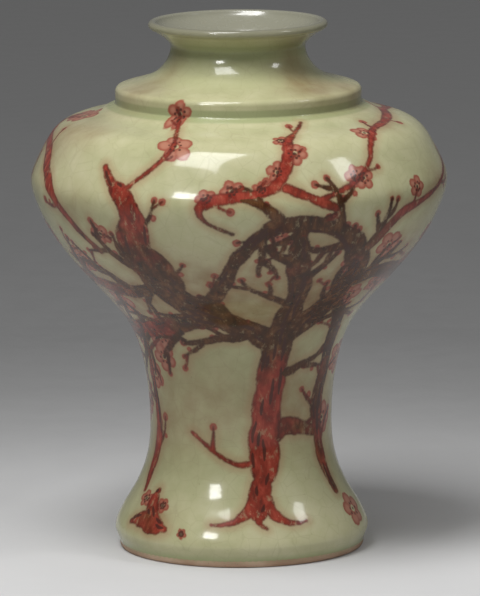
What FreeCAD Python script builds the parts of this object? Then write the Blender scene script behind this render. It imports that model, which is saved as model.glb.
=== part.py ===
import FreeCAD, Part
import math
import os

from FreeCAD import Vector

# Meiping vase of high-fired clay, thrown in sections.
# The sections are luted to each other with slip at rebated joints, and three coats of glaze cover the clay.
# Lengths are millimetres. The axis of the vase is Z, and the foot rests on Z = 0.

# Heights of the clay body, stacked from the resting plane up
bare_edge_height = 3.0
bulge_rise = 9.6
flare_height = 65.5
lower_body_height = 152.8
shoulder_height = 46.2
collar_height = 11.4
neck_root_height = 24.4
mouth_height = 15.6

# Radii of the clay body, outside
waist_radius = 56.0
foot_overhang = 22.4
girth_overhang = 72.2
neck_radius = 41.3
collar_overhang = 34.4
lip_overhang = 13.8
bulge_tuck = 2.4
foot_edge_roll = 1.8

# Turns and slopes of the outline
collar_root_fillet = 1.8
collar_corner_fillet = 3.2
collar_top_slope = 18.0
shoulder_end_slope = 16.0
lip_thickness = 4.6
lip_underside_angle = -68.0
lip_inside_angle = 152.0

# Thickness of the thrown wall
neck_wall = 5.0
collar_wall = 8.4
shoulder_wall = 5.6
girth_wall = 6.0
waist_wall = 8.0
joint_swell = 1.4
joint_swell_reach = 11.0

# Foot ring, recess and floor
ring_width = 8.6
ring_inner_bevel = 0.8
recess_depth = 12.0
recess_draft = 2.6
disc_thickness = 8.0
shelf_width = 5.0
cavity_foot_height = 7.0

# Slip joints between the sections
slip_film = 0.6
lap_depth = 4.0
collar_seat_rise = 0.8

# Coats of glaze
celadon_thickness = 0.6
inner_glaze_thickness = 0.5
lip_glaze_thickness = 0.35
base_glaze_thickness = 0.5
base_glaze_clearance = 3.0
floor_pool_radius = 4.0

# Cuts run past the clay by this much
overrun = 20.0

# Shares along a stretch as (radius, height), from its lower station to its upper one
flare_shares = ((0.045, 0.07), (0.195, 0.18), (0.48, 0.34), (0.735, 0.51), (0.90, 0.68))
lower_body_shares = ((0.051, 0.25), (0.175, 0.415), (0.43, 0.563), (0.685, 0.698), (0.872, 0.826), (0.957, 0.915))
shoulder_shares = ((0.053, 0.215), (0.155, 0.44), (0.29, 0.665), (0.42, 0.77), (0.59, 0.835), (0.80, 0.90))
neck_root_shares = ((0.40, 0.15), (0.70, 0.33), (0.90, 0.60))
mouth_shares = ((0.20, 0.40), (0.55, 0.72))
under_neck_share = 0.45
shoulder_inside_shares = (0.80, 0.62, 0.46, 0.30, 0.16)

# Steps along a curve that follows another one
following_steps = 18

# Stations worked out from the sizes above
bulge_z = bare_edge_height + bulge_rise
waist_z = bulge_z + flare_height
girth_z = waist_z + lower_body_height
collar_z = girth_z + shoulder_height
collar_top_z = collar_z + collar_height
collar_seat_z = collar_z + collar_seat_rise
neck_z = collar_top_z + neck_root_height
lip_underside_z = neck_z + mouth_height - lip_thickness
lip_half = lip_thickness / 2
lip_centre_z = lip_underside_z + lip_half
foot_radius = waist_radius + foot_overhang
girth_radius = waist_radius + girth_overhang
collar_radius = neck_radius + collar_overhang
lip_centre_radius = neck_radius + lip_overhang - lip_half
edge_top_radius = foot_radius - bulge_tuck
rest_outer_radius = edge_top_radius - foot_edge_roll
rest_inner_radius = rest_outer_radius - ring_width
bore_radius = rest_inner_radius - recess_draft
disc_radius = bore_radius - slip_film
floor_z = recess_depth + disc_thickness
shelf_z = floor_z + slip_film
cavity_floor_radius = bore_radius - shelf_width

UP = (0, 1)
DOWN = (0, -1)
OUTWARD = (1, 0)


def spot(radius, height):
    return Vector(radius, 0, height)


def way(direction):
    return Vector(direction[0], 0, direction[1])


def inward_climb(slope):
    """Direction that climbs towards the axis at a slope in degrees."""
    return (-math.cos(math.radians(slope)), math.sin(math.radians(slope)))


def along_arc(angle):
    """Direction of an anticlockwise arc at an angle in degrees from the outward direction."""
    return (-math.sin(math.radians(angle)), math.cos(math.radians(angle)))


def curve_through(points, start_way, end_way):
    """Smooth curve through points, leaving along start_way and arriving along end_way."""
    travelled = [0.0]
    for previous, following in zip(points, points[1:]):
        travelled.append(travelled[-1] + previous.distanceToPoint(following))
    curve = Part.BSplineCurve()
    curve.interpolate(
        Points=points,
        Parameters=travelled,
        InitialTangent=way(start_way),
        FinalTangent=way(end_way),
        Scale=False,
    )
    return curve


def stretch(lower, upper, shares, start_way, end_way):
    """Curve from the lower to the upper station through the shares of the way between them."""
    points = [spot(*lower)]
    for radius_share, height_share in shares:
        radius = lower[0] + (upper[0] - lower[0]) * radius_share
        height = lower[1] + (upper[1] - lower[1]) * height_share
        points.append(spot(radius, height))
    points.append(spot(*upper))
    return curve_through(points, start_way, end_way)


def arc(centre_radius, centre_height, radius, start_angle, end_angle):
    """Arc about a centre, with its angles in degrees from the outward direction."""
    angles = (start_angle, (start_angle + end_angle) / 2, end_angle)
    ends = [
        spot(
            centre_radius + radius * math.cos(math.radians(angle)),
            centre_height + radius * math.sin(math.radians(angle)),
        )
        for angle in angles
    ]
    return Part.Arc(*ends)


def line(start, end):
    return Part.LineSegment(start, end)


def at_share(curve, share):
    """Point and unit tangent at a share of the curve's parameter range."""
    at = curve.FirstParameter + (curve.LastParameter - curve.FirstParameter) * share
    tangent = Vector(*curve.tangent(at)[0])
    return curve.value(at), tangent.normalize()


def beside(curve, share, gap):
    """Point at a gap to the right of the curve, which is outside where the curve climbs."""
    where, tangent = at_share(curve, share)
    return where + Vector(tangent.z, 0, -tangent.x) * gap


def ways_at_ends(curve):
    first = at_share(curve, 0)[1]
    last = at_share(curve, 1)[1]
    return (first.x, first.z), (last.x, last.z)


def parallel(curve, start_gap, end_gap):
    """Curve beside another one, at a gap that changes evenly along it."""
    if isinstance(curve, Part.LineSegment):
        return line(beside(curve, 0, start_gap), beside(curve, 1, end_gap))
    points = []
    for step in range(following_steps + 1):
        share = step / following_steps
        points.append(beside(curve, share, start_gap + (end_gap - start_gap) * share))
    return curve_through(points, *ways_at_ends(curve))


def end_of(curve):
    return curve.value(curve.LastParameter)


def start_of(curve):
    return curve.value(curve.FirstParameter)


def edges_of(curves):
    return [curve.toShape() for curve in curves]


def turned(edges):
    """Solid of revolution from the edges of one closed outline in the plane of X and Z."""
    outline = Part.Wire(Part.__sortEdges__(edges))
    return Part.Face(outline).revolve(Vector(0, 0, 0), Vector(0, 0, 1), 360)


def turned_polygon(corners):
    points = [spot(*corner) for corner in corners]
    return turned([line(a, b).toShape() for a, b in zip(points, points[1:] + points[:1])])


def bare_foot_edge():
    """Rolled clay edge below the glaze, from the resting plane up."""
    points = [spot(rest_outer_radius, 0), spot(edge_top_radius, bare_edge_height)]
    return curve_through(points, OUTWARD, UP)


def foot_and_body_curves():
    """Outside of the clay from the top of the bare edge to the end of the shoulder."""
    edge_top = (edge_top_radius, bare_edge_height)
    bulge = (foot_radius, bulge_z)
    waist = (waist_radius, waist_z)
    girth = (girth_radius, girth_z)
    root_angle = math.radians(shoulder_end_slope)
    shoulder_end = (
        collar_radius + collar_root_fillet * (1 - math.sin(root_angle)),
        collar_z + collar_root_fillet * (1 - math.cos(root_angle)),
    )
    toe = curve_through([spot(*edge_top), spot(*bulge)], UP, UP)
    flare = stretch(bulge, waist, flare_shares, UP, UP)
    lower_body = stretch(waist, girth, lower_body_shares, UP, UP)
    shoulder = stretch(girth, shoulder_end, shoulder_shares, UP, inward_climb(shoulder_end_slope))
    return toe, flare, lower_body, shoulder


def collar_curves():
    """Root fillet, upright step and rounded corner of the collar."""
    root_centre_z = collar_z + collar_root_fillet
    corner_centre_z = collar_top_z - collar_corner_fillet
    root_start = 270 - shoulder_end_slope
    corner_end = 90 - collar_top_slope
    root = arc(collar_radius + collar_root_fillet, root_centre_z, collar_root_fillet, root_start, 180)
    corner = arc(collar_radius - collar_corner_fillet, corner_centre_z, collar_corner_fillet, 0, corner_end)
    step = line(end_of(root), start_of(corner))
    return root, step, corner


def neck_curves(corner):
    """Outside of the neck, from the collar's corner through the narrowest place to the lip."""
    corner_end = end_of(corner)
    narrowest = (neck_radius, neck_z)
    lip_start = start_of(lip_curves()[0])
    root = stretch(
        (corner_end.x, corner_end.z), narrowest, neck_root_shares, inward_climb(collar_top_slope), UP
    )
    mouth = stretch(
        narrowest, (lip_start.x, lip_start.z), mouth_shares, UP, along_arc(lip_underside_angle)
    )
    return root, mouth


def lip_curves():
    """Rounded lip, from its underside over the crest to the inside."""
    outer = arc(lip_centre_radius, lip_centre_z, lip_half, lip_underside_angle, 90)
    inner = arc(lip_centre_radius, lip_centre_z, lip_half, 90, lip_inside_angle)
    return outer, inner


def wall_with_swell(height, wall):
    """Wall thickness at a height, with the low swell that each luted joint leaves inside."""
    for joint_z in (waist_z, girth_z):
        away = (height - joint_z) / joint_swell_reach
        wall += joint_swell * math.exp(-away * away)
    return wall


def inside_points(curve, start_wall, end_wall):
    """Points inside the wall of one outer curve, from its start to its end."""
    points = []
    for step in range(following_steps + 1):
        share = step / following_steps
        height = at_share(curve, share)[0].z
        wall = wall_with_swell(height, start_wall + (end_wall - start_wall) * share)
        points.append(beside(curve, share, -wall))
    return points


def inside_curves(lower_body, shoulder, neck_root, lip_inner):
    """Inside of the clay from the lip down to the shelf over the base disc."""
    throat = spot(neck_radius - neck_wall, neck_z)
    funnel = curve_through([end_of(lip_inner), throat], along_arc(lip_inside_angle), DOWN)
    under_neck = beside(neck_root, under_neck_share, -neck_wall)
    under_collar = spot(collar_radius - collar_wall, collar_seat_z)
    vault_points = [throat, under_neck, under_collar]
    for share in shoulder_inside_shares:
        vault_points.append(beside(shoulder, share, -shoulder_wall))
    belly_points = inside_points(lower_body, waist_wall, girth_wall)
    vault_points.append(belly_points[-1])
    vault = curve_through(vault_points, DOWN, DOWN)
    belly = curve_through(belly_points[::-1], DOWN, DOWN)
    cavity_foot = spot(cavity_floor_radius, shelf_z + cavity_foot_height)
    taper = curve_through([belly_points[0], cavity_foot], DOWN, DOWN)
    skirt = line(cavity_foot, spot(cavity_floor_radius, shelf_z))
    return funnel, vault, belly, taper, skirt


def foot_recess_corners():
    """Corners under the clay body, from the shelf down the bore to the foot ring."""
    return [
        spot(cavity_floor_radius, shelf_z),
        spot(bore_radius, shelf_z),
        spot(bore_radius, recess_depth),
        spot(rest_inner_radius - ring_inner_bevel, ring_inner_bevel),
        spot(rest_inner_radius, 0),
        spot(rest_outer_radius, 0),
    ]


def clay_body(outer_curves, lip_inner, inner_curves):
    """The thrown clay from foot ring to lip in one piece, before it is parted at the joints."""
    corners = foot_recess_corners()
    foot_lines = [line(a, b) for a, b in zip(corners, corners[1:])]
    curves = [bare_foot_edge(), *outer_curves, lip_inner, *inner_curves, *foot_lines]
    return turned(edges_of(curves))


def wall_middle_radius(body, height):
    """Radius of the middle of the wall at a height."""
    probe = line(spot(0, height), spot(girth_radius + overrun, height)).toShape()
    inside = body.common(probe)
    return (inside.BoundBox.XMin + inside.BoundBox.XMax) / 2


def lap_joint(body, joint_z):
    """Slip between two sections: the upper one's spigot stands in the rebate of the lower one."""
    middle = wall_middle_radius(body, joint_z)
    outside = girth_radius + overrun
    spigot_z = joint_z - lap_depth
    return turned_polygon([
        (outside, joint_z + slip_film),
        (middle - slip_film, joint_z + slip_film),
        (middle - slip_film, spigot_z + slip_film),
        (0, spigot_z + slip_film),
        (0, spigot_z),
        (middle, spigot_z),
        (middle, joint_z),
        (outside, joint_z),
    ])


def clay_sections(body):
    """The thrown sections and the slip joints between them, each by its name."""
    bands = {
        "waist_slip_joint": lap_joint(body, waist_z),
        "girth_slip_joint": lap_joint(body, girth_z),
        "collar_slip_joint": lap_joint(body, collar_seat_z),
    }
    joints = {name: body.common(band) for name, band in bands.items()}
    parted = body.cut(Part.makeCompound(list(bands.values())))
    sections = sorted(parted.Solids, key=lambda solid: solid.CenterOfMass.z)
    names = ("foot_section", "lower_body_section", "shoulder_section", "neck_section")
    return {**dict(zip(names, sections)), **joints}


def base_disc():
    return Part.makeCylinder(disc_radius, disc_thickness, Vector(0, 0, recess_depth))


def base_slip_joint():
    """Slip over the rim of the base disc and round its edge."""
    return turned_polygon([
        (disc_radius, recess_depth),
        (bore_radius, recess_depth),
        (bore_radius, shelf_z),
        (cavity_floor_radius, shelf_z),
        (cavity_floor_radius, floor_z),
        (disc_radius, floor_z),
    ])


def celadon_coat(curves, lip_outer):
    """Outer glaze, from the top of the bare foot edge to the crest of the lip."""
    covered = [*curves, lip_outer]
    full = celadon_thickness
    gaps = [(0, full), *[(full, full)] * (len(curves) - 2), (full, lip_glaze_thickness)]
    gaps.append((lip_glaze_thickness, lip_glaze_thickness))
    outer = [parallel(curve, *ends) for curve, ends in zip(covered, gaps)]
    crest = line(end_of(covered[-1]), end_of(outer[-1]))
    return turned(edges_of([*covered, *outer, crest]))


def inner_glaze_coat(lip_inner, inner_curves):
    """Glaze of the inside, from the crest of the lip down the wall and over the floor."""
    funnel, vault, belly, taper, skirt = inner_curves
    full = inner_glaze_thickness
    thin = lip_glaze_thickness
    on_lip = parallel(lip_inner, thin, thin)
    on_funnel = parallel(funnel, thin, full)
    on_wall = [parallel(curve, full, full) for curve in (vault, belly, taper)]
    glaze_floor_z = floor_z + full
    pool_radius = cavity_floor_radius - full
    pool = arc(pool_radius - floor_pool_radius, glaze_floor_z + floor_pool_radius, floor_pool_radius, 0, -90)
    on_skirt = line(end_of(on_wall[-1]), start_of(pool))
    glaze_floor = line(end_of(pool), spot(0, glaze_floor_z))
    axis = line(spot(0, glaze_floor_z), spot(0, floor_z))
    clay_floor = line(spot(0, floor_z), spot(cavity_floor_radius, floor_z))
    skirt_foot = line(spot(cavity_floor_radius, floor_z), end_of(skirt))
    crest = line(start_of(on_lip), start_of(lip_inner))
    faces = [on_lip, on_funnel, *on_wall, on_skirt, pool, glaze_floor]
    backing = [axis, clay_floor, skirt_foot, *inner_curves, lip_inner, crest]
    return turned(edges_of([*faces, *backing]))


def base_glaze_coat():
    """Glaze under the base disc and part of the way down the recess."""
    film = base_glaze_thickness
    bevel_radius = rest_inner_radius - ring_inner_bevel
    draft = (bevel_radius - bore_radius) / (recess_depth - ring_inner_bevel)
    edge_radius = bore_radius + (recess_depth - base_glaze_clearance) * draft
    return turned_polygon([
        (0, recess_depth),
        (bore_radius, recess_depth),
        (edge_radius, base_glaze_clearance),
        (edge_radius - film, base_glaze_clearance),
        (bore_radius - film, recess_depth - film),
        (0, recess_depth - film),
    ])


def build():
    toe, flare, lower_body, shoulder = foot_and_body_curves()
    root, step, corner = collar_curves()
    neck_root, mouth = neck_curves(corner)
    lip_outer, lip_inner = lip_curves()
    glazed_curves = [toe, flare, lower_body, shoulder, root, step, corner, neck_root, mouth]
    inner_curves = inside_curves(lower_body, shoulder, neck_root, lip_inner)
    body = clay_body([*glazed_curves, lip_outer], lip_inner, inner_curves)
    parts = clay_sections(body)
    parts["base_disc"] = base_disc()
    parts["base_slip_joint"] = base_slip_joint()
    parts["celadon_coat"] = celadon_coat(glazed_curves, lip_outer)
    parts["inner_glaze_coat"] = inner_glaze_coat(lip_inner, inner_curves)
    parts["base_glaze_coat"] = base_glaze_coat()
    return parts


os.makedirs("parts", exist_ok=True)
for name, shape in build().items():
    shape.exportStep(f"parts/{name}.step")
    box = shape.BoundBox
    print(f"{name}: {len(shape.Solids)} solid, volume {shape.Volume:.0f}, valid {shape.isValid()}, "
          f"radius {box.XMax:.1f}, height {box.ZMin:.1f} to {box.ZMax:.1f}")
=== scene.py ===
import math

import bpy
import numpy as np
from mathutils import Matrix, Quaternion, Vector


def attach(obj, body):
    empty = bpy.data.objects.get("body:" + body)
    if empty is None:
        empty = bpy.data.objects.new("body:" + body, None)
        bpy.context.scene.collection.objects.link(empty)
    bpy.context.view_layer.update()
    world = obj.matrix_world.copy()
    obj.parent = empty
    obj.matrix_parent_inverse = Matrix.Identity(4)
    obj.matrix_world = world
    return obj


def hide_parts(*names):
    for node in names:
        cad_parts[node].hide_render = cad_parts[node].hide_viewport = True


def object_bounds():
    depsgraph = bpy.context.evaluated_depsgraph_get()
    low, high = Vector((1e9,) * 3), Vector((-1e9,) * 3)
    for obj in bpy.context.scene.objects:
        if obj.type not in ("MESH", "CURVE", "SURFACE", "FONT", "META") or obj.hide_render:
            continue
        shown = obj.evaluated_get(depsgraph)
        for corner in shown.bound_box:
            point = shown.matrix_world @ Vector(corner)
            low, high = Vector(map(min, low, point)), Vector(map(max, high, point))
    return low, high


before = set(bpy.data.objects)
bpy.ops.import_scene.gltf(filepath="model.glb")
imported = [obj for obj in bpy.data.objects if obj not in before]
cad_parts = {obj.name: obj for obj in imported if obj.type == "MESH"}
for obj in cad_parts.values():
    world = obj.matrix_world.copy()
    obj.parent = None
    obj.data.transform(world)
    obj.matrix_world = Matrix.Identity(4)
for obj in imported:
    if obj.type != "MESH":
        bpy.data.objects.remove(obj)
cad_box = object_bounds()

# Lengths on the vase and in its painting are in millimetres, angles in degrees.
MM = 0.001

# Camera, at the photograph's height above the table and as long a lens.
camera_elevation = 9.5
camera_distance = 3.96
camera_roll = -0.45
camera_lens = 385.6
aim_below_centre = 0.0094

# Grids of the two glaze coats that show.
columns = 864
outer_step = 1.0
mouth_depth = 60.0
inner_step = 3.5
turn_per_step = 6.0
turn_window = 9
spline_samples = 12

# How far the thrown surface wanders inwards from the true outline.
least_hollow = 0.08
ring_hollow = 0.07
lobe_hollow = 0.06
settle_length = 9.0

# Glaze pools in hollow turns and at the foot's edge, and wears thin over the lip. The lip's grey is
# darkened and also laid over the inside of the mouth as painted shade.
pool_window = 15
pool_gain = 9.0
pool_most = 0.8
edge_pool = 0.3
edge_pool_reach = 2.5
lip_fade = 6.5
lip_thinning_and_shade = 0.95
# Share of the lip's grey laid over the whole inside of the mouth: painted shade.
inner_shade_share = 0.85

# Painting: a shape's field holds the distance inside its edge, down to this far outside it.
field_floor = -8.0
stroke_step = 2.4
brush_seed = 7

# Strokes, as shares of the stroke's half width
limb_unrest = 0.16
limb_sway = 0.16
bark_side = 0.85
twig_taper = 0.62
shoot_root = 0.6

# Shoots, as shares of the length and width asked for
shoot_lengths = (0.5, 1.0)
shoot_widths = (0.8, 1.2)

# Fine strokes and small shapes, in millimetres
bark_drift = 0.4
bark_width = 1.15
twig_least = 0.85
blossom_sizes = (8.0, 13.0)
bud_sizes = (1.8, 2.8)
side_bud_sizes = (1.6, 2.4)
side_bud_offset = 2.5

# Turns of strokes: off the branch in degrees, the others in radians
shoot_slopes = (32, 68)
shoot_bend = 0.9
twig_unrest = 0.16

# Samples in a stroke of bark
bark_samples = (4, 9)

# A blossom's parts, as shares of its radius
petal_places = (0.53, 0.6)
petal_sizes = (0.38, 0.44)
heart_size = 0.2
stamen_places = (0.3, 0.42)

# A blossom's counts, its least and most squash, edges and dots in millimetres, turns in radians
petal_count = 5
stamen_count = 7
blossom_squash = (0.82, 1.0)
heart_edge = 0.6
heart_dot = 1.2
stamen_dot = 0.95
petal_unrest = 0.1
stamen_unrest = 0.15

# Tone of a stroke, from 0 for copper red to 1 for iron brown
RED, BROWN = 0.08, 0.92


# Reading the glaze outlines off the frame
def seam_neighbours(node):
    """For each (radius, height) point on a coat's +X half plane, the points joined to it there."""
    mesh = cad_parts[node].data
    flat = np.empty(3 * len(mesh.vertices), np.float32)
    mesh.vertices.foreach_get("co", flat)
    places = flat.reshape(-1, 3).astype(float) / MM
    ends = np.empty(2 * len(mesh.edges), np.int32)
    mesh.edges.foreach_get("vertices", ends)
    on_seam = (np.abs(places[:, 1]) < MM) & (places[:, 0] > 0)
    joined = {}
    for a, b in ends.reshape(-1, 2):
        if on_seam[a] and on_seam[b]:
            p = (round(places[a, 0], 4), round(places[a, 2], 4))
            q = (round(places[b, 0], 4), round(places[b, 2], 4))
            joined.setdefault(p, set()).add(q)
            joined.setdefault(q, set()).add(p)
    return joined


def free_face(node, pick):
    """Outline of a coat's free face, from the crest of the lip to its far end.
    pick chooses the way down from the crest: max goes outside, min goes inside."""
    joined = seam_neighbours(node)
    crest = max(joined, key=lambda p: p[1])
    lowest = min(joined, key=lambda p: p[1])
    path = [crest, pick(joined[crest], key=lambda p: p[0])]
    onward = True
    while onward and path[-1] != lowest:
        onward = joined[path[-1]] - {path[-2]}
        path.extend(onward)
    return np.array(path)


def spline_through(points):
    """Cubic spline through the points of an outline, finely sampled."""
    gaps = np.hypot(*np.diff(points, axis=0).T)
    knots = np.concatenate([[0.0], np.cumsum(gaps)])
    count = len(points)
    system = np.eye(count)
    target = np.zeros((count, 2))
    for i in range(1, count - 1):
        before, after = gaps[i - 1], gaps[i]
        system[i, i - 1 : i + 2] = before, 2 * (before + after), after
        target[i] = 6 * ((points[i + 1] - points[i]) / after - (points[i] - points[i - 1]) / before)
    bend = np.linalg.solve(system, target)
    share = np.linspace(0, 1, spline_samples, endpoint=False)
    where = np.append((knots[:-1, None] + gaps[:, None] * share).ravel(), knots[-1])
    span = np.clip(np.searchsorted(knots, where, side="right") - 1, 0, count - 2)
    width = gaps[span][:, None]
    right = (where[:, None] - knots[span][:, None]) / width
    left = 1 - right
    curved = (left**3 - left) * bend[span] + (right**3 - right) * bend[span + 1]
    return left * points[span] + right * points[span + 1] + curved * width**2 / 6


def lengths_along(outline):
    gaps = np.hypot(*np.diff(outline, axis=0).T)
    return np.concatenate([[0.0], np.cumsum(gaps)])


def headings(outline):
    """Direction of each piece of an outline, in radians from the outward direction."""
    steps = np.diff(outline, axis=0)
    return np.unwrap(np.arctan2(steps[:, 1], steps[:, 0]))


def running_mean(values, window):
    """Mean of each value and its neighbours, over an odd window."""
    padded = np.pad(values, window // 2, mode="edge")
    return np.convolve(padded, np.ones(window) / window, mode="valid")


def resample(fine, step_at):
    """Points along a finely drawn outline, closer together where it turns."""
    along = lengths_along(fine)
    middle = (along[1:] + along[:-1]) / 2
    turning = np.abs(np.gradient(headings(fine), middle))
    density = 1 / step_at(middle) + running_mean(turning, turn_window) / math.radians(turn_per_step)
    total = np.concatenate([[0.0], np.cumsum(density * np.diff(along))])
    where = np.interp(np.linspace(0, total[-1], int(total[-1]) + 1), total, along)
    return np.column_stack([np.interp(where, along, fine[:, k]) for k in (0, 1)])


# A turned surface as a grid
class Grid:
    """Rows of points round the vase's axis. Angle 0 faces the camera and angles grow to the right."""

    def __init__(self, outline):
        self.radius = outline[:, 0]
        self.along = lengths_along(outline)
        self.height = outline[:, 1]
        self.heading = np.interp(self.along, (self.along[1:] + self.along[:-1]) / 2, headings(outline))
        self.angles = np.arange(columns) * 360.0 / columns
        self.points = self.places(self.angles[None, :], self.along[:, None])

    def places(self, angle, length):
        """Points in space at angles and lengths along the outline."""
        turn = np.radians(angle)
        radius = np.interp(length, self.along, self.radius)
        height = np.interp(length, self.along, self.height)
        return np.stack(np.broadcast_arrays(radius * np.sin(turn), -radius * np.cos(turn), height), -1)

    def outward(self):
        """Unit direction out of the surface at every point."""
        turn = np.radians(self.angles[None, :])
        out = np.sin(self.heading)[:, None]
        up = -np.cos(self.heading)[:, None]
        return np.stack(np.broadcast_arrays(out * np.sin(turn), -out * np.cos(turn), up), -1)

    def near(self, angle, length, reach):
        """Rows and columns within reach of a place, as an index."""
        first, last = np.searchsorted(self.along, (length - reach, length + reach))
        rows = np.arange(max(first - 1, 0), min(last + 1, len(self.along)))
        column_width = self.radius[rows].min() * math.radians(360.0 / columns)
        spread = min(int(reach / column_width) + 2, columns // 2 - 1)
        middle = int(round(angle * columns / 360.0))
        return np.ix_(rows, np.arange(middle - spread, middle + spread + 1) % columns)

    def hollows(self):
        """How far inside the true outline each point lies: turning rings of uneven spacing and
        strength, and lobes of two and three to a turn, that fade out at both ends."""
        turn = np.radians(self.angles[None, :])
        up = self.height[:, None]
        rings = np.sin(up * 0.55 + 1.3 * np.sin(up * 0.09) + 0.6 * np.sin(turn + 0.4))
        rings = rings * (0.6 + 0.4 * np.sin(up * 0.037 + 1.0))
        lobes = np.sin(2 * turn + up * 0.012) + 0.6 * np.sin(3 * turn - up * 0.021 + 2.0)
        depth = least_hollow + ring_hollow * (1 + rings) / 2 + lobe_hollow * (1.6 + lobes) / 1.6
        ends = np.minimum(self.along, self.along[-1] - self.along) / settle_length
        return depth * np.clip(ends, 0, 1)[:, None] ** 0.5

    def settle(self):
        self.points = self.points - self.outward() * self.hollows()[..., None]


# Brush strokes, in places of (angle, share of the outline's length)
brush = np.random.default_rng(brush_seed)


def wander(count, every):
    """A smooth random run of values from -1 to 1, turning about once in every so many."""
    knots = brush.uniform(-1, 1, int(count / every) + 3)
    where = np.arange(count) / every
    base = where.astype(int)
    part = where - base
    part = part * part * (3 - 2 * part)
    return knots[base] * (1 - part) + knots[base + 1] * part


def through(rows, per_span=8):
    """Smooth run through listed rows of numbers."""
    rows = np.array(rows, float)
    ends = np.vstack([2 * rows[0] - rows[1], rows, 2 * rows[-1] - rows[-2]])
    part = np.linspace(0, 1, per_span, endpoint=False)[:, None]
    spans = []
    for a, b, c, d in zip(ends, ends[1:], ends[2:], ends[3:]):
        cubic = 3 * (b - c) + d - a
        square = 2 * a - 5 * b + 4 * c - d
        spans.append(b + part * (c - a + part * (square + part * cubic)) / 2)
    return np.vstack(spans + [rows[-1:]])


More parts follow.
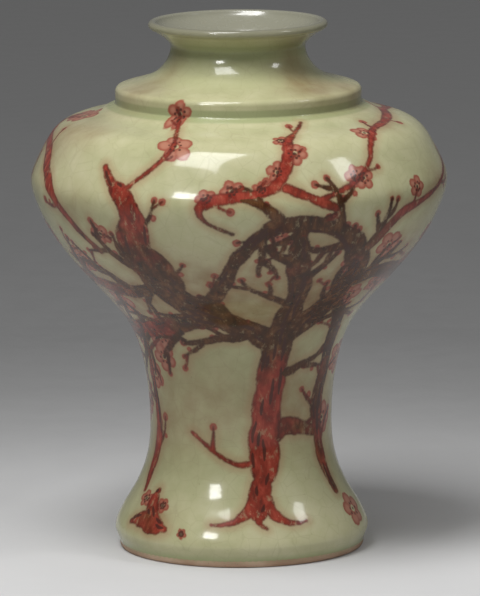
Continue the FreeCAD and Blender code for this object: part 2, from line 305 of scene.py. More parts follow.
class Painting:
    """What the painter laid on the coat. Each shape field holds the distance inside its edge."""

    def __init__(self, grid):
        self.grid = grid
        shape = grid.points.shape[:2]
        self.fields = {
            "tree": np.full(shape, field_floor, np.float32),
            "petal": np.full(shape, field_floor, np.float32),
            "line": np.full(shape, field_floor, np.float32),
            "tone": np.zeros(shape, np.float32),
            "haze": np.zeros(shape, np.float32),
        }

    def metric(self, share):
        """Millimetres for one degree round the vase, and for the whole outline, at a share of it."""
        length = share * self.grid.along[-1]
        radius = np.interp(length, self.grid.along, self.grid.radius)
        return np.radians(1) * radius, self.grid.along[-1]

    def moved(self, angle, share, across, up):
        """The place so many millimetres across and up the surface from another."""
        per_degree, per_share = self.metric(share)
        return angle + across / per_degree, share + up / per_share

    def directions(self, samples):
        """Unit steps along a run of places, in millimetres across and up."""
        per_degree, per_share = self.metric(samples[:, 1])
        across = np.gradient(samples[:, 0]) * per_degree
        up = np.gradient(samples[:, 1]) * per_share
        size = np.maximum(np.hypot(across, up), 1e-6)
        return across / size, up / size

    def beside(self, samples, offsets):
        """A run of places moved sideways by offsets."""
        across, up = self.directions(samples)
        out = samples.copy()
        places = self.moved(samples[:, 0], samples[:, 1], -up * offsets, across * offsets)
        out[:, 0], out[:, 1] = places
        return out

    def keep_greater(self, name, index, values, tone=None):
        field = self.fields[name]
        before = field[index]
        field[index] = np.maximum(before, values)
        if tone is not None:
            self.fields["tone"][index] = np.where(values > before, tone, self.fields["tone"][index])

    def stroke(self, name, samples):
        """A brush stroke along (angle, share, half width, tone) samples."""
        lengths = samples[:, 1] * self.grid.along[-1]
        places = self.grid.places(samples[:, 0], lengths)
        for i in range(len(samples) - 1):
            start, end = places[i], places[i + 1]
            way = end - start
            reach = max(samples[i, 2], samples[i + 1, 2]) + np.linalg.norm(way) - field_floor
            index = self.grid.near(samples[i, 0], lengths[i], reach)
            offset = self.grid.points[index] - start
            part = np.clip(offset @ way / max(way @ way, 1e-6), 0, 1)
            gap = np.linalg.norm(offset - part[..., None] * way, axis=-1)
            width = samples[i, 2] + part * (samples[i + 1, 2] - samples[i, 2])
            tone = samples[i, 3] if name == "tree" else None
            self.keep_greater(name, index, width - gap, tone)

    def limb(self, rows):
        """A trunk or branch through (angle, share, half width, tone) rows. Returns its run."""
        samples = through(rows)
        samples[:, 2] *= 1 + limb_unrest * wander(len(samples), 3)
        samples = self.beside(samples, limb_sway * samples[:, 2] * wander(len(samples), 5))
        self.stroke("tree", samples)
        return samples

    def bark(self, samples, count):
        """Short dark strokes that follow a limb, and a few knots."""
        for _ in range(count):
            length = brush.integers(*bark_samples)
            if len(samples) <= length + 2:
                return
            first = brush.integers(0, len(samples) - length)
            run = samples[first : first + length].copy()
            side = brush.uniform(-bark_side, bark_side)
            run = self.beside(run, side * run[:, 2] + bark_drift * wander(length, 3))
            run[:, 2] = bark_width * np.sin(np.linspace(0.25, math.pi - 0.15, length)) ** 0.5
            self.stroke("line", run)

    def twig(self, angle, share, heading, length, width, tone, bend):
        """A thin tapering shoot. Returns its run of samples."""
        count = max(int(length / stroke_step), 3)
        rows = []
        for i in range(count + 1):
            taper = 1 - twig_taper * i / count
            rows.append((angle, share, max(width * taper, twig_least), tone))
            step = length / count
            angle, share = self.moved(angle, share, step * math.cos(heading), step * math.sin(heading))
            heading += bend * step / length + brush.uniform(-twig_unrest, twig_unrest)
        samples = np.array(rows)
        self.stroke("tree", samples)
        return samples

    def flat_places(self, angle, share, reach):
        """Index of the points round a place, and their places on its tangent plane."""
        length = share * self.grid.along[-1]
        index = self.grid.near(angle, length, reach)
        offset = self.grid.points[index] - self.grid.places(angle, length)
        turn = math.radians(angle)
        slope = np.interp(length, self.grid.along, self.grid.heading)
        across = np.array((math.cos(turn), math.sin(turn), 0.0))
        level = math.cos(slope)
        up = np.array((level * math.sin(turn), -level * math.cos(turn), math.sin(slope)))
        return index, offset @ across, offset @ up

    def bud(self, angle, share, size):
        index, u, v = self.flat_places(angle, share, size - field_floor)
        self.keep_greater("petal", index, size - np.hypot(u, v))

    def blossom(self, angle, share, size):
        """Five round petals about a pale heart with stamens."""
        index, u, v = self.flat_places(angle, share, 1.3 * size - field_floor)
        first = brush.uniform(0, 2 * math.pi)
        squash = brush.uniform(*blossom_squash)
        tilt = brush.uniform(0, math.pi)
        along = u * math.cos(tilt) + v * math.sin(tilt)
        cross = (v * math.cos(tilt) - u * math.sin(tilt)) / squash
        petals = np.full(u.shape, field_floor)
        for k in range(petal_count):
            way = first + math.tau * k / petal_count + brush.uniform(-petal_unrest, petal_unrest)
            far = size * brush.uniform(*petal_places)
            round_size = size * brush.uniform(*petal_sizes)
            gap = np.hypot(along - far * math.cos(way), cross - far * math.sin(way))
            petals = np.maximum(petals, round_size - gap)
        heart = heart_size * size - np.hypot(along, cross)
        petals = np.where(heart > -heart_edge, np.minimum(petals, -heart), petals)
        self.keep_greater("petal", index, petals)
        for k in range(stamen_count):
            way = first + math.tau * k / stamen_count + brush.uniform(-stamen_unrest, stamen_unrest)
            far = size * brush.uniform(*stamen_places)
            dot = stamen_dot - np.hypot(along - far * math.cos(way), cross - far * math.sin(way))
            self.keep_greater("line", index, dot)
        self.keep_greater("line", index, heart_dot - np.hypot(along, cross))

    def shoots(self, samples, every, longest, tone, flowers, thick=1.9):
        """Twigs to both sides of a branch, about one in every so many millimetres, the longest
        that long. flowers is the share of them that end in a blossom. Returns their runs."""
        per_degree, per_share = self.metric(samples[:, 1])
        steps = np.diff(samples[:, :2], axis=0)
        gaps = np.hypot(steps[:, 0] * per_degree[1:], steps[:, 1] * per_share)
        across, up = self.directions(samples)
        travelled = 0.0
        side = 1 if brush.uniform() < 0.5 else -1
        runs = []
        for i in range(2, len(samples) - 1):
            travelled += gaps[i - 1]
            if travelled < every:
                continue
            travelled = brush.uniform(-0.3, 0.3) * every
            side = -side
            heading = math.atan2(up[i], across[i]) + side * math.radians(brush.uniform(*shoot_slopes))
            length = longest * brush.uniform(*shoot_lengths)
            out = shoot_root * samples[i, 2]
            start = self.moved(*samples[i, :2], out * math.cos(heading), out * math.sin(heading))
            width = thick * brush.uniform(*shoot_widths)
            bend = -side * brush.uniform(0, shoot_bend)
            run = self.twig(*start, heading, length, width, tone, bend)
            runs.append(run)
            bare = run[-1, 1] < bare_waist_top and abs(run[-1, 0]) < bare_waist_angle
            if brush.uniform() < flowers and not bare:
                self.blossom(run[-1, 0], run[-1, 1], brush.uniform(*blossom_sizes))
            else:
                self.bud(run[-1, 0], run[-1, 1], brush.uniform(*bud_sizes))
            if len(run) > 6:
                middle = run[len(run) // 2]
                across_by = side_bud_offset * math.sin(heading)
                up_by = -side_bud_offset * math.cos(heading)
                place = self.moved(*middle[:2], across_by, up_by)
                self.bud(*place, brush.uniform(*side_bud_sizes))
        return runs

    def haze(self, angle, share, across, up, strength):
        """A soft cloud of stray copper in the glaze."""
        index, u, v = self.flat_places(angle, share, 1.2 * max(across, up))
        value = strength * np.exp(-1.5 * ((u / across) ** 2 + (v / up) ** 2))
        field = self.fields["haze"]
        field[index] = 1 - (1 - field[index]) * (1 - value)


def paint_tree(painting):
    """A blossoming tree that grows from the foot and spreads over the body."""
    trunk = painting.limb([
        (8, 0.078, 5, RED), (9.5, 0.092, 6, RED), (12, 0.12, 6.5, RED), (14, 0.165, 9, RED),
        (16, 0.20, 11, RED), (17, 0.24, 9.5, 0.2), (19, 0.285, 8.5, 0.35), (19, 0.335, 9, 0.7),
        (21, 0.39, 9, BROWN), (22, 0.45, 8, 0.8), (19, 0.51, 7.5, 0.7), (17, 0.55, 6, 0.8),
        (18, 0.575, 4, 0.6),
    ])
    for rows in (
        ((9, 0.12, 4, RED), (4.5, 0.088, 4, RED), (-1, 0.07, 2.8, RED), (-9, 0.062, 1.6, RED),
         (-15, 0.061, 0.9, RED)),
        ((11, 0.12, 4, RED), (15, 0.085, 4, RED), (21, 0.066, 2.6, RED), (28, 0.06, 1.5, RED),
         (33, 0.061, 0.9, RED)),
        ((9, 0.10, 4, RED), (8, 0.076, 3.2, RED), (9, 0.062, 1.8, RED), (12, 0.054, 1.0, RED)),
    ):
        painting.limb(rows)
    left_limb = painting.limb([
        (19, 0.34, 7, BROWN), (9, 0.365, 8, BROWN), (-4, 0.39, 9, BROWN), (-16, 0.41, 10.5, BROWN),
        (-27, 0.455, 12, BROWN), (-29, 0.505, 13.5, 0.7), (-31.5, 0.55, 11.5, 0.55),
        (-31, 0.60, 8.5, 0.2), (-33, 0.63, 6, RED), (-37.5, 0.65, 4.2, RED), (-42, 0.675, 2, RED),
    ])
    right_limb = painting.limb([
        (20, 0.35, 7.5, BROWN), (29, 0.375, 9, BROWN), (37, 0.41, 9, BROWN), (41, 0.46, 8, BROWN),
        (40, 0.515, 7.5, 0.7), (34, 0.56, 7, BROWN), (24, 0.59, 6.5, BROWN), (13, 0.595, 6, BROWN),
        (6, 0.577, 5.5, BROWN), (0, 0.54, 5, 0.8), (-5, 0.49, 5, BROWN), (-11, 0.44, 5, BROWN),
    ])
    low_left = painting.limb([
        (-14, 0.40, 8, BROWN), (-27, 0.385, 8, 0.75), (-41, 0.37, 7, 0.5), (-56, 0.36, 6.5, 0.4),
        (-72, 0.35, 5, 0.5), (-88, 0.355, 3.5, 0.5),
    ])
    shoulder_branch = painting.limb([
        (-2, 0.58, 1.3, 0.8), (-9, 0.60, 1.5, 0.5), (-11, 0.621, 3, 0.2), (-8, 0.632, 4, 0.15),
        (-2, 0.637, 4, RED), (4, 0.643, 3.5, RED), (10, 0.654, 3.5, RED), (13.5, 0.68, 4, RED),
        (15.5, 0.71, 3.6, RED), (17, 0.735, 2.8, RED), (22, 0.765, 1.6, 0.3), (27, 0.79, 1.2, 0.3),
    ])
    painting.limb([
        (24, 0.595, 3.5, 0.7), (28, 0.612, 3, 0.4), (21, 0.632, 3.2, 0.2), (13, 0.65, 3, RED),
    ])
    return trunk, left_limb, right_limb, low_left, shoulder_branch


# Blossoms that lie near the foot: angle, share of the outline, radius
fallen_blossoms = (
    (-60, 0.088, 7), (-45, 0.083, 6), (-29, 0.043, 4), (70, 0.062, 12), (128, 0.055, 12),
    (-150, 0.06, 13), (176, 0.05, 6),
)

# The front of the waist bears no blossoms, below a share of the outline and within an angle.
bare_waist_top = 0.57
bare_waist_angle = 37

# Blossoms on the bare part of the shoulder: angle, share, radius
shoulder_blossoms = (
    (-28, 0.812, 9), (-20.5, 0.72, 13), (47, 0.735, 9.5), (-9, 0.637, 7.5), (-2, 0.648, 8),
    (6, 0.65, 6), (11, 0.676, 8), (17, 0.705, 9), (14, 0.735, 6),
)

# Clouds of stray copper: angle, share of the outline, reach across and up, strength
hazes = (
    (-18, 0.43, 50, 32, 0.6), (34, 0.43, 46, 32, 0.7), (8, 0.48, 44, 26, 0.42),
    (-58, 0.43, 60, 30, 0.55), (66, 0.46, 50, 34, 0.45), (-28, 0.25, 40, 36, 0.4),
    (36, 0.26, 36, 40, 0.45), (70, 0.20, 36, 40, 0.3), (-70, 0.18, 36, 30, 0.3),
    (-76, 0.66, 36, 24, 0.25), (-50, 0.06, 20, 14, 0.6), (-62, 0.45, 28, 24, 0.6),
    (64, 0.52, 22, 26, 0.35), (120, 0.42, 60, 30, 0.3), (-140, 0.45, 60, 30, 0.3),
    (168, 0.30, 40, 40, 0.3), (-32, 0.53, 24, 24, 0.7), (12, 0.39, 30, 12, 0.35),
    (26, 0.55, 26, 15, 0.6), (30, 0.437, 22, 18, 0.5), (54, 0.50, 24, 22, 0.5),
    (-17, 0.41, 24, 16, 0.5), (-14, 0.50, 22, 18, 0.4), (35, 0.51, 18, 16, 0.5),
    (-40, 0.44, 24, 18, 0.4), (-52, 0.60, 24, 18, 0.35), (70, 0.63, 22, 14, 0.35),
    (-44, 0.30, 14, 30, 0.15), (-14, 0.235, 12, 16, 0.15), (29, 0.28, 14, 26, 0.4),
    (-75, 0.72, 26, 26, 0.4), (-60, 0.73, 24, 16, 0.4), (62, 0.75, 20, 14, 0.3),
    (50, 0.91, 16, 22, 0.4), (-62, 0.91, 14, 20, 0.3), (45, 0.865, 26, 20, 0.5),
    (72, 0.84, 20, 16, 0.4), (-62, 0.85, 26, 18, 0.45), (-55, 0.22, 14, 16, 0.3),
)


def far_limbs(painting):
    """The branches that carry the tree round the sides and back."""
    return [painting.limb(rows) for rows in (
        ((41, 0.47, 6, BROWN), (58, 0.485, 6, 0.7), (78, 0.47, 6.5, 0.6), (100, 0.48, 6, 0.5),
         (122, 0.53, 5, 0.4), (140, 0.59, 4.5, 0.2), (150, 0.65, 4, RED), (163, 0.70, 2.5, RED)),
        ((100, 0.48, 5, 0.5), (116, 0.44, 5.5, 0.6), (135, 0.42, 6, 0.6), (156, 0.44, 5.5, 0.5),
         (174, 0.49, 5, 0.3), (190, 0.56, 4, 0.2), (201, 0.64, 3, RED)),
        ((-72, 0.35, 5.5, 0.5), (-92, 0.37, 6, 0.5), (-112, 0.41, 6, 0.6), (-128, 0.46, 5.5, 0.4),
         (-138, 0.53, 5, 0.3), (-136, 0.60, 4.5, RED), (-126, 0.67, 3.5, RED),
         (-120, 0.74, 2.5, RED)),
        ((-112, 0.41, 4.5, 0.6), (-100, 0.47, 5, 0.5), (-92, 0.53, 4.5, 0.3), (-88, 0.59, 4, 0.2),
         (-96, 0.66, 3.5, RED), (-106, 0.73, 2.5, RED)),
        ((150, 0.05, 6, RED), (153, 0.12, 6.5, RED), (158, 0.20, 7, 0.2), (160, 0.28, 6, 0.4),
         (156, 0.35, 6, 0.6), (148, 0.42, 5.5, 0.6)),
        ((93, 0.775, 2.5, 0.2), (112, 0.75, 4, RED), (130, 0.72, 4, RED), (146, 0.70, 2.5, RED)),
        ((-170, 0.80, 3, RED), (-160, 0.75, 4.5, RED), (-158, 0.70, 4, RED), (-166, 0.65, 2.5, RED)),
    )]


def brushwork(painting):
    """The whole painting. Its order is also the order of the random draws."""
    trunk, left_limb, right_limb, low_left, shoulder_branch = paint_tree(painting)
    painting.bark(trunk, 26)
    for limb in (left_limb, right_limb):
        painting.bark(limb, 16)
    painting.bark(low_left, 6)
    upper_left = painting.limb([
        (-36, 0.63, 2, 0.3), (-31, 0.655, 1.6, 0.3), (-24, 0.69, 1.6, 0.2), (-21, 0.72, 1.8, RED),
        (-24, 0.765, 1.6, 0.2), (-29, 0.82, 1.4, 0.3),
    ])
    right_sweep = painting.limb([
        (41, 0.54, 4, 0.6), (50, 0.59, 3.5, 0.3), (62, 0.61, 2.2, 0.2), (76, 0.63, 1.6, 0.2),
        (92, 0.66, 2.0, 0.3),
    ])
    right_upper = painting.limb([
        (23, 0.63, 2, 0.3), (33, 0.65, 1.8, 0.3), (41, 0.68, 1.8, 0.2), (45, 0.71, 2, RED),
        (54, 0.742, 2.4, RED), (70, 0.757, 3, 0.2), (93, 0.775, 3, 0.2),
    ])
    low_right = painting.limb([
        (18, 0.195, 7, 0.3), (29, 0.21, 5.5, 0.5), (42, 0.205, 5, 0.6), (56, 0.19, 3, 0.6),
    ])
    root = painting.limb([
        (9, 0.155, 2.5, 0.2), (-4, 0.155, 1.6, 0.3), (-18, 0.175, 1.4, 0.3), (-32, 0.20, 1.2, 0.3),
    ])
    left_stem = painting.limb([
        (-66, 0.10, 2, 0.3), (-67, 0.14, 3.5, 0.3), (-63, 0.20, 4.5, 0.3), (-66, 0.27, 2.8, 0.4),
        (-63, 0.33, 3, 0.5), (-54, 0.38, 4, 0.7),
    ])
    right_stem = painting.limb([
        (63, 0.10, 3.5, 0.6), (58, 0.17, 5, 0.5), (55, 0.24, 6, 0.6), (59, 0.31, 6, 0.7),
        (54, 0.37, 5.5, BROWN), (44, 0.42, 5, BROWN),
    ])
    for angle, share, size in fallen_blossoms + shoulder_blossoms:
        painting.blossom(angle, share, size)
    left_side = painting.limb([
        (-47, 0.535, 2.2, 0.6), (-56, 0.585, 3, 0.4), (-67, 0.64, 4.2, 0.2), (-77, 0.68, 4.4, 0.2),
        (-90, 0.705, 2.8, 0.2), (-98, 0.735, 1.4, 0.2),
    ])
    mid_left = painting.limb([
        (-24, 0.475, 5, BROWN), (-38, 0.455, 5.5, 0.7), (-52, 0.45, 5.5, 0.55), (-67, 0.46, 5, 0.4),
        (-82, 0.485, 3.5, 0.3),
    ])
    for run in (left_limb[:-28], right_limb[:-22], low_left, mid_left, trunk[40:-12]):
        for bough in painting.shoots(run, every=16, longest=44, tone=BROWN, flowers=0.2, thick=3.6):
            for spray in painting.shoots(bough, every=12, longest=22, tone=0.75, flowers=0.3, thick=2.2):
                painting.shoots(spray, every=12, longest=12, tone=0.5, flowers=0.3, thick=1.4)
    for run in far_limbs(painting):
        painting.bark(run, 8)
        for bough in painting.shoots(run, every=22, longest=46, tone=0.5, flowers=0.4, thick=3.0):
            painting.shoots(bough, every=14, longest=22, tone=0.4, flowers=0.5, thick=1.8)
    for angle, share, across, up, strength in hazes:
        painting.haze(angle, share, across, up, strength)
    for run in (right_sweep, left_side):
        painting.shoots(run, every=36, longest=18, tone=0.35, flowers=0.25, thick=1.5)
    for run in (upper_left, right_upper, shoulder_branch):
        painting.shoots(run, every=34, longest=11, tone=0.3, flowers=0.0, thick=1.3)
    for run in (left_stem, right_stem):
        painting.bark(run, 8)
        painting.shoots(run, every=24, longest=24, tone=0.5, flowers=0.35)
    painting.shoots(low_right, every=24, longest=24, tone=0.5, flowers=0.3)
    painting.shoots(root, every=26, longest=20, tone=0.4, flowers=0.2)
    paint_rock(painting)


def paint_rock(painting):
    """A garden rock beside the tree, at the left of the foot."""
    for rows in (
        ((-39, 0.046, 2.5, 0.3), (-45, 0.052, 5.5, 0.4), (-52, 0.056, 6.5, 0.5),
         (-59, 0.054, 4.5, 0.4), (-64, 0.048, 2, 0.3)),
        ((-48, 0.06, 4.5, 0.4), (-52, 0.078, 5, 0.4), (-53, 0.094, 3.5, 0.3), (-52, 0.106, 1.5, 0.3)),
    ):
        painting.bark(painting.limb(rows), 3)


# Colours of glaze, pigment, clay and floor
pool_green = (0.30, 0.33, 0.165, 1)
# Grey of the thin glaze over the lip, made darker as painted shade of the rim and mouth.
thin_lip_and_shade_grey = (0.17, 0.165, 0.125, 1)
iron_speck = (0.20, 0.15, 0.08, 1)
crackle_brown = (0.24, 0.21, 0.12, 1)
halo_brown = (0.37, 0.235, 0.125, 1)
haze_brown = (0.21, 0.11, 0.04, 1)
haze_on_petals = (0.12, 0.045, 0.02, 1)
petal_edge = (0.27, 0.045, 0.03, 1)
petal_middle = (0.40, 0.15, 0.10, 1)
stroke_edge = (0.05, 0.016, 0.011, 1)
dark_line = (0.055, 0.020, 0.014, 1)
# Dark grey mixed into the inner glaze: painted shade inside the mouth.
inner_shade_grey = (0.27, 0.27, 0.225, 1)
clay_speck = (0.10, 0.06, 0.04, 1)
worn_clay = (0.36, 0.23, 0.14, 1)
stoneware_pale = (0.47, 0.33, 0.23, 1)
stoneware_dark = (0.34, 0.21, 0.13, 1)
slip_pale = (0.50, 0.38, 0.28, 1)
slip_dark = (0.40, 0.28, 0.19, 1)
floor_grey = (0.5, 0.5, 0.5, 1)

# Colours from the thin to the thick parts of a noise: its value, the colour
celadon_stops = (
    (0.30, (0.365, 0.365, 0.195, 1)),
    (0.50, (0.46, 0.445, 0.26, 1)),
    (0.72, (0.54, 0.515, 0.33, 1)),
)
red_stops = (
    (0.30, (0.10, 0.014, 0.010, 1)),
    (0.48, (0.22, 0.024, 0.014, 1)),
    (0.64, (0.33, 0.05, 0.03, 1)),
    (0.80, (0.44, 0.17, 0.10, 1)),
)
brown_stops = (
    (0.32, (0.024, 0.009, 0.003, 1)),
    (0.52, (0.066, 0.020, 0.005, 1)),
    (0.72, (0.16, 0.065, 0.02, 1)),
)


# Material building blocks
def add(tree, kind, inputs=None, **settings):
    """A new node. An input given as a socket is linked, and any other is its value."""
    node = tree.nodes.new(kind)
    for name, value in settings.items():
        setattr(node, name, value)
    for name, value in (inputs or {}).items():
        if isinstance(value, bpy.types.NodeSocket):
            tree.links.new(value, node.inputs[name])
        else:
            node.inputs[name].default_value = value
    return node


def calc(tree, operation, a, b=0.0, c=0.0):
    return add(tree, "ShaderNodeMath", {0: a, 1: b, 2: c}, operation=operation).outputs[0]


def smooth_step(tree, value, low, high, to_low=0.0, to_high=1.0):
    inputs = {"Value": value, "From Min": low, "From Max": high, "To Min": to_low, "To Max": to_high}
    return add(tree, "ShaderNodeMapRange", inputs, interpolation_type="SMOOTHSTEP").outputs[0]


def mixed(tree, share, first, second, how="MIX"):
    inputs = {"Factor": share, 6: first, 7: second}
    return add(tree, "ShaderNodeMix", inputs, data_type="RGBA", blend_type=how).outputs[2]


def times(tree, a, b):
    return calc(tree, "MULTIPLY", a, b)


def noise(tree, where, scale, detail=3.0, roughness=0.5, distortion=0.0):
    inputs = {"Vector": where, "Scale": scale, "Detail": detail}
    inputs.update({"Roughness": roughness, "Distortion": distortion})
    return add(tree, "ShaderNodeTexNoise", inputs).outputs["Fac"]


def ramp(tree, value, stops):
    node = add(tree, "ShaderNodeValToRGB", {"Fac": value})
    elements = node.color_ramp.elements
    while len(elements) < len(stops):
        elements.new(0.5)
    for element, (place, colour) in zip(elements, stops):
        element.position = place
        element.color = colour
    return node.outputs["Color"]


def painted(tree, name):
    return add(tree, "ShaderNodeAttribute", attribute_name=name).outputs["Fac"]


def surface_places(tree, stretch=(1.0, 1.0, 1.0)):
    """Places on the object in millimetres."""
    where = add(tree, "ShaderNodeTexCoord").outputs["Object"]
    factors = tuple(s / MM for s in stretch)
    return add(tree, "ShaderNodeVectorMath", {0: where, 1: factors}, operation="MULTIPLY").outputs[0]


def new_material(name):
    material = bpy.data.materials.new(name)
    material.use_nodes = True
    material.node_tree.nodes.clear()
    return material, material.node_tree


def finish_material(tree, colour, roughness, height, **constants):
    """Principled surface from colour, roughness and a height in millimetres."""
    bump = add(tree, "ShaderNodeBump", {"Height": height, "Strength": 1.0, "Distance": MM})
    inputs = {"Base Color": colour, "Roughness": roughness, "Normal": bump.outputs[0]}
    inputs.update({name.replace("_", " "): value for name, value in constants.items()})
    shader = add(tree, "ShaderNodeBsdfPrincipled", inputs)
    add(tree, "ShaderNodeOutputMaterial", {"Surface": shader.outputs[0]})


def celadon_ground(tree, where, pool):
    """Celadon of uneven depth with iron specks."""
    cloud = noise(tree, where, 0.011, 2.0)
    mottle = noise(tree, where, 0.075, 5.0, 0.6)
    depth = calc(tree, "MULTIPLY_ADD", mottle, 0.45, times(tree, cloud, 0.55))
    colour = ramp(tree, depth, celadon_stops)
    colour = mixed(tree, pool, colour, pool_green)
    # Lip grey: thin glaze over the lip, darkened as painted shade of the rim and mouth.
    colour = mixed(tree, painted(tree, "lip"), colour, thin_lip_and_shade_grey)
    speck = smooth_step(tree, noise(tree, where, 0.55, 2.0, 0.7), 0.70, 0.78)
    colour = mixed(tree, times(tree, speck, 0.5), colour, iron_speck)
    cell = add(tree, "ShaderNodeTexVoronoi", {"Vector": where, "Scale": 0.10}, feature="DISTANCE_TO_EDGE")
    crack = smooth_step(tree, cell.outputs["Distance"], 0.0, 0.035, 0.16, 0.0)
    return mixed(tree, crack, colour, crackle_brown)


def copper_red(tree, where, tone):
    """Copper and iron pigment, from liver red to brown, mottled and run downwards by the glaze."""
    streaks = surface_places(tree, (1.0, 1.0, 0.4))
    fire = noise(tree, streaks, 0.17, 5.0, 0.62, 0.4)
    red = ramp(tree, fire, red_stops)
    brown = ramp(tree, fire, brown_stops)
    spread = calc(tree, "MULTIPLY_ADD", noise(tree, where, 0.10, 3.0), 0.7, -0.35)
    return mixed(tree, smooth_step(tree, calc(tree, "ADD", tone, spread), 0.25, 0.75), red, brown)


def celadon_material():
    """The outer glaze with the painting under it."""
    material, tree = new_material("celadon_painted")
    where = surface_places(tree)
    ragged = calc(tree, "MULTIPLY_ADD", noise(tree, where, 0.42, 4.0, 0.65), 2.4, -1.2)
    drift = calc(tree, "MULTIPLY_ADD", noise(tree, where, 0.09, 3.0), 3.2, -1.6)
    ground = celadon_ground(tree, where, painted(tree, "pool"))
    torn = calc(tree, "MULTIPLY_ADD", ragged, 0.8, times(tree, drift, 0.35))
    tree_depth = calc(tree, "ADD", painted(tree, "tree"), torn)
    petal_depth = calc(tree, "ADD", painted(tree, "petal"), times(tree, ragged, 0.7))
    line_depth = calc(tree, "ADD", painted(tree, "line"), times(tree, ragged, 0.35))
    halo = smooth_step(tree, calc(tree, "ADD", painted(tree, "tree"), drift), -6.5, 0.5, 0.0, 0.55)
    ink = copper_red(tree, where, painted(tree, "tone"))
    colour = mixed(tree, halo, ground, halo_brown)
    haze = times(tree, painted(tree, "haze"), smooth_step(tree, drift, -1.0, 1.0, 0.5, 1.0))
    colour = mixed(tree, haze, colour, haze_brown)
    petal_heart = smooth_step(tree, petal_depth, 0.3, 3.2)
    petal_ink = mixed(tree, petal_heart, petal_edge, petal_middle)
    colour = mixed(tree, smooth_step(tree, petal_depth, -0.7, 0.6, 0.0, 0.9), colour, petal_ink)
    colour = mixed(tree, times(tree, haze, 0.4), colour, haze_on_petals)
    bristles = noise(tree, surface_places(tree, (1.0, 1.0, 0.55)), 0.26, 4.0, 0.7)
    loaded = smooth_step(tree, bristles, 0.70, 0.54, 0.50, 0.97)
    cover = times(tree, smooth_step(tree, tree_depth, -0.9, 0.8), loaded)
    rim_ink = mixed(tree, smooth_step(tree, tree_depth, 0.2, 2.0), stroke_edge, ink)
    colour = mixed(tree, cover, colour, mixed(tree, 0.55, ink, rim_ink))
    lines = smooth_step(tree, line_depth, -0.3, 0.4, 0.0, 0.85)
    colour = mixed(tree, lines, colour, dark_line)
    peel = times(tree, noise(tree, where, 0.32, 2.0), 0.02)
    wave = calc(tree, "MULTIPLY_ADD", noise(tree, where, 0.055, 1.0), 0.10, peel)
    relief = calc(tree, "MULTIPLY_ADD", smooth_step(tree, tree_depth, -1.0, 1.0), -0.012, wave)
    gloss = smooth_step(tree, noise(tree, where, 0.2, 4.0), 0.3, 0.7, 0.16, 0.26)
    finish_material(tree, colour, gloss, relief, IOR=1.5, Coat_Weight=0.4, Coat_Roughness=0.06,
                    Coat_IOR=1.5, Specular_IOR_Level=0.18)
    return material


def inner_material():
    """Celadon inside the mouth, painted darker and greyer than the outer glaze: painted shade inside the
    mouth.
    """
    material, tree = new_material("celadon_inner")
    where = surface_places(tree)
    ground = celadon_ground(tree, where, painted(tree, "pool"))
    # Darkened towards grey: painted shade inside the mouth.
    colour = mixed(tree, 0.35, ground, inner_shade_grey)
    height = times(tree, noise(tree, where, 0.12, 3.0), 0.05)
    gloss = smooth_step(tree, noise(tree, where, 0.2, 4.0), 0.3, 0.7, 0.18, 0.3)
    finish_material(tree, colour, gloss, height, IOR=1.5, Coat_Weight=0.5, Coat_Roughness=0.06)
    return material


def clay_material(name, pale, dark, grain):
    """Fired stoneware clay: uneven biscuit colour, dark grains and a fine tooth."""
    material, tree = new_material(name)
    where = surface_places(tree)
    blush = noise(tree, where, 0.05, 4.0)
    colour = ramp(tree, blush, [(0.35, dark), (0.65, pale)])
    speck = smooth_step(tree, noise(tree, where, grain, 2.0), 0.66, 0.74, 0.0, 0.6)
    colour = mixed(tree, speck, colour, clay_speck)
    height = times(tree, noise(tree, where, grain, 4.0, 0.7), 0.10)
    rough = smooth_step(tree, blush, 0.3, 0.7, 0.75, 0.92)
    finish_material(tree, colour, rough, height)
    return material


def thin_glaze_material():
    """The thin glaze wiped over the recess in the foot, worn through to clay in places."""
    material, tree = new_material("base_glaze")
    where = surface_places(tree)
    patch = smooth_step(tree, noise(tree, where, 0.08, 5.0, 0.65), 0.38, 0.52)
    glaze = celadon_ground(tree, where, 0.1)
    colour = mixed(tree, patch, worn_clay, glaze)
    rough = calc(tree, "MULTIPLY_ADD", patch, -0.45, 0.75)
    height = calc(tree, "MULTIPLY_ADD", patch, 0.06, times(tree, noise(tree, where, 1.1, 3.0), 0.04))
    finish_material(tree, colour, rough, height, IOR=1.5)
    return material


# Pieces
def turned_mesh(name, grid, closed_end):
    """Quads between the rows of a grid, with a fan to the axis at its last row if closed_end is true."""
    rows = len(grid.along)
    places = grid.points.reshape(-1, 3) * MM
    index = np.arange(rows * columns).reshape(rows, columns)
    low, high = index[:-1], index[1:]
    quads = np.stack([low, np.roll(low, -1, 1), np.roll(high, -1, 1), high], -1).reshape(-1, 4)
    corners = quads.ravel()
    starts = np.arange(len(quads)) * 4
    if closed_end:
        centre = np.array([[0.0, 0.0, grid.height[-1] * MM]])
        places = np.vstack([places, centre])
        last = index[-1]
        fan = np.stack([last, np.roll(last, -1), np.full(columns, rows * columns)], -1)
        starts = np.concatenate([starts, len(corners) + np.arange(columns) * 3])
        corners = np.concatenate([corners, fan.ravel()])
    mesh = bpy.data.meshes.new(name)
    mesh.vertices.add(len(places))
    mesh.vertices.foreach_set("co", places.astype(np.float32).ravel())
    mesh.loops.add(len(corners))
    mesh.loops.foreach_set("vertex_index", corners.astype(np.int32))
    mesh.polygons.add(len(starts))
    mesh.polygons.foreach_set("loop_start", starts.astype(np.int32))
    mesh.update(calc_edges=True)
    mesh.validate()
    mesh.shade_smooth()
    return mesh


def add_field(mesh, name, values):
    """Stores one value for each point of a grid; a point past the grid keeps zero."""
    attribute = mesh.attributes.new(name, "FLOAT", "POINT")
    padded = np.zeros(len(mesh.vertices), np.float32)
    padded[: values.size] = values.ravel()
    attribute.data.foreach_set("value", padded)


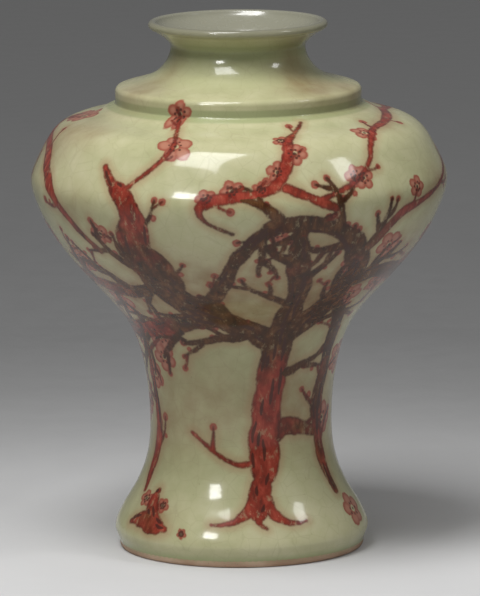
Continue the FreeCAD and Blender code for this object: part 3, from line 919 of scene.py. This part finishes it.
def pooling(grid):
    """Where glaze gathers: inside hollow turns of the outline, and above the bare foot edge."""
    hollow = -np.gradient(grid.heading, grid.along)
    gathered = np.clip(running_mean(hollow, pool_window) * pool_gain, 0, pool_most)
    edge = edge_pool * np.exp(-grid.along / edge_pool_reach)
    return np.repeat((gathered + edge)[:, None], columns, 1)


def lip_wear_and_shade(grid, crest):
    """Where the glaze runs thin over the lip and the clay greys it; the grey laid there is also darkened
    as painted shade of the rim.
    """
    away = np.abs(grid.along - crest)
    return np.repeat(np.exp(-((away / lip_fade) ** 2))[:, None], columns, 1)


def add_piece(name, mesh, material, node):
    piece = bpy.data.objects.new(name, mesh)
    bpy.context.scene.collection.objects.link(piece)
    mesh.materials.append(material)
    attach(piece, "root")
    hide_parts(node)


def make_outer_coat():
    fine = spline_through(free_face("celadon_coat", max)[::-1])
    grid = Grid(resample(fine, lambda s: np.full_like(s, outer_step)))
    painting = Painting(grid)
    brushwork(painting)
    grid.settle()
    mesh = turned_mesh("celadon_glaze", grid, False)
    for name, values in painting.fields.items():
        add_field(mesh, name, values)
    add_field(mesh, "pool", pooling(grid))
    # The lip band: thin glaze, and painted shade of the rim.
    add_field(mesh, "lip", lip_thinning_and_shade * lip_wear_and_shade(grid, grid.along[-1]))
    add_piece("celadon_glaze", mesh, celadon_material(), "celadon_coat")


def make_inner_coat():
    fine = spline_through(free_face("inner_glaze_coat", min))
    grid = Grid(resample(fine, lambda s: np.where(s < mouth_depth, outer_step, inner_step)))
    mesh = turned_mesh("inner_glaze", grid, True)
    mesh.flip_normals()
    add_field(mesh, "pool", np.zeros(grid.points.shape[:2]))
    # The whole inside takes most of the lip's dark grey: painted shade inside the mouth.
    add_field(mesh, "lip", np.maximum(lip_thinning_and_shade * lip_wear_and_shade(grid, 0.0), inner_shade_share))
    add_piece("inner_glaze", mesh, inner_material(), "inner_glaze_coat")


def dress_nodes():
    """Gives each clay piece, slip joint and the base glaze its own finish."""
    clay = clay_material("stoneware", stoneware_pale, stoneware_dark, 0.9)
    slip = clay_material("luting_slip", slip_pale, slip_dark, 1.6)
    thin_glaze = thin_glaze_material()
    for name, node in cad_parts.items():
        finish = slip if name.endswith("slip_joint") else clay
        if name == "base_glaze_coat":
            finish = thin_glaze
        node.data.materials.clear()
        node.data.materials.append(finish)


# Stage, in metres. The floor's colour holds painted shade: it darkens with distance from a place before
# the vase, as the lamps' light would fall off, and lightens again far off.
floor_radius = 9.0
floor_corners = 256
floor_drop = 0.0002
falloff_centre = (0.0, -0.25, 0.0)
painted_floor_falloff = (
    (0.18, 0.60), (0.25, 0.61), (0.37, 0.525), (0.51, 0.42), (0.64, 0.32),
    (0.80, 0.243), (1.0, 0.20), (1.45, 0.215), (2.2, 0.28), (3.2, 0.39),
)
far_shade = 0.13
far_clip = 60.0


def make_floor():
    """A pale floor whose colour darkens to grey with distance: painted shade in place of the lamps'
    falloff.
    """
    turns = [math.tau * k / floor_corners for k in range(floor_corners)]
    rim = [(floor_radius * math.cos(t), floor_radius * math.sin(t), -floor_drop) for t in turns]
    mesh = bpy.data.meshes.new("floor")
    mesh.from_pydata(rim, [], [list(range(floor_corners))])
    floor = bpy.data.objects.new("floor", mesh)
    bpy.context.scene.collection.objects.link(floor)
    material, tree = new_material("floor")
    where = add(tree, "ShaderNodeTexCoord").outputs["Object"]
    measure = add(tree, "ShaderNodeVectorMath", {0: where, 1: falloff_centre}, operation="DISTANCE")
    distance = measure.outputs["Value"]
    reach = painted_floor_falloff[-1][0]
    stops = [(d / reach, (shade, shade, shade, 1)) for d, shade in painted_floor_falloff]
    # Painted shade: the floor's colour darkens with distance from the place before the vase.
    colour = ramp(tree, calc(tree, "DIVIDE", distance, reach), stops)
    paper = noise(tree, where, 40.0, 4.0)
    colour = mixed(tree, times(tree, paper, 0.04), colour, floor_grey)
    rough = smooth_step(tree, paper, 0.3, 0.7, 0.75, 0.9)
    finish_material(tree, colour, rough, times(tree, paper, 0.05))
    mesh.materials.append(material)


def direction(azimuth, elevation):
    """Unit vector from the vase towards an azimuth right of the camera and an elevation."""
    a, e = math.radians(azimuth), math.radians(elevation)
    return Vector((math.sin(a) * math.cos(e), -math.cos(a) * math.cos(e), math.sin(e)))


vase_centre = Vector((0.0, 0.0, (cad_box[0].z + cad_box[1].z) / 2))

# Each light: azimuth, elevation, distance, width, height, watts. The sheen only makes highlights,
# and the unmirrored ones make none.
lights = {
    "key": (-31, 64, 2.2, 0.85, 1.25, 46.0),
    "right": (72, 40, 2.4, 0.4, 0.45, 6.5),
    "sheen": (-32, 31, 2.2, 0.44, 0.38, 15.0),
    "front": (-18, 20, 3.0, 1.5, 1.5, 9.0),
    "overhead": (10, 84, 2.6, 2.4, 2.4, 12.5),
}
unmirrored = ("overhead", "front")


def make_lights():
    for name, (azimuth, elevation, distance, width, height, watts) in lights.items():
        lamp = bpy.data.lights.new(name, "AREA")
        lamp.shape = "RECTANGLE"
        lamp.size, lamp.size_y = width, height
        lamp.energy = watts
        light = bpy.data.objects.new(name, lamp)
        bpy.context.scene.collection.objects.link(light)
        light.visible_glossy = name not in unmirrored
        light.visible_diffuse = name != "sheen"
        way = direction(azimuth, elevation)
        light.location = vase_centre + way * distance
        light.rotation_euler = (-way).to_track_quat("-Z", "Y").to_euler()
    world = bpy.data.worlds.new("studio")
    world.use_nodes = True
    background = world.node_tree.nodes["Background"]
    background.inputs["Color"].default_value = (far_shade, far_shade, far_shade, 1)
    background.inputs["Strength"].default_value = 1.0
    bpy.context.scene.world = world


def make_camera():
    data = bpy.data.cameras.new("camera")
    data.lens = camera_lens
    data.clip_end = far_clip
    camera = bpy.data.objects.new("camera", data)
    bpy.context.scene.collection.objects.link(camera)
    camera.location = vase_centre + direction(0, camera_elevation) * camera_distance
    target = vase_centre - Vector((0, 0, aim_below_centre))
    look = (target - camera.location).to_track_quat("-Z", "Y")
    camera.rotation_mode = "QUATERNION"
    camera.rotation_quaternion = look @ Quaternion((0, 0, 1), math.radians(camera_roll))
    bpy.context.scene.camera = camera


make_outer_coat()
make_inner_coat()
dress_nodes()
make_floor()
make_lights()
make_camera()
bpy.context.scene.view_settings.view_transform = "Standard"
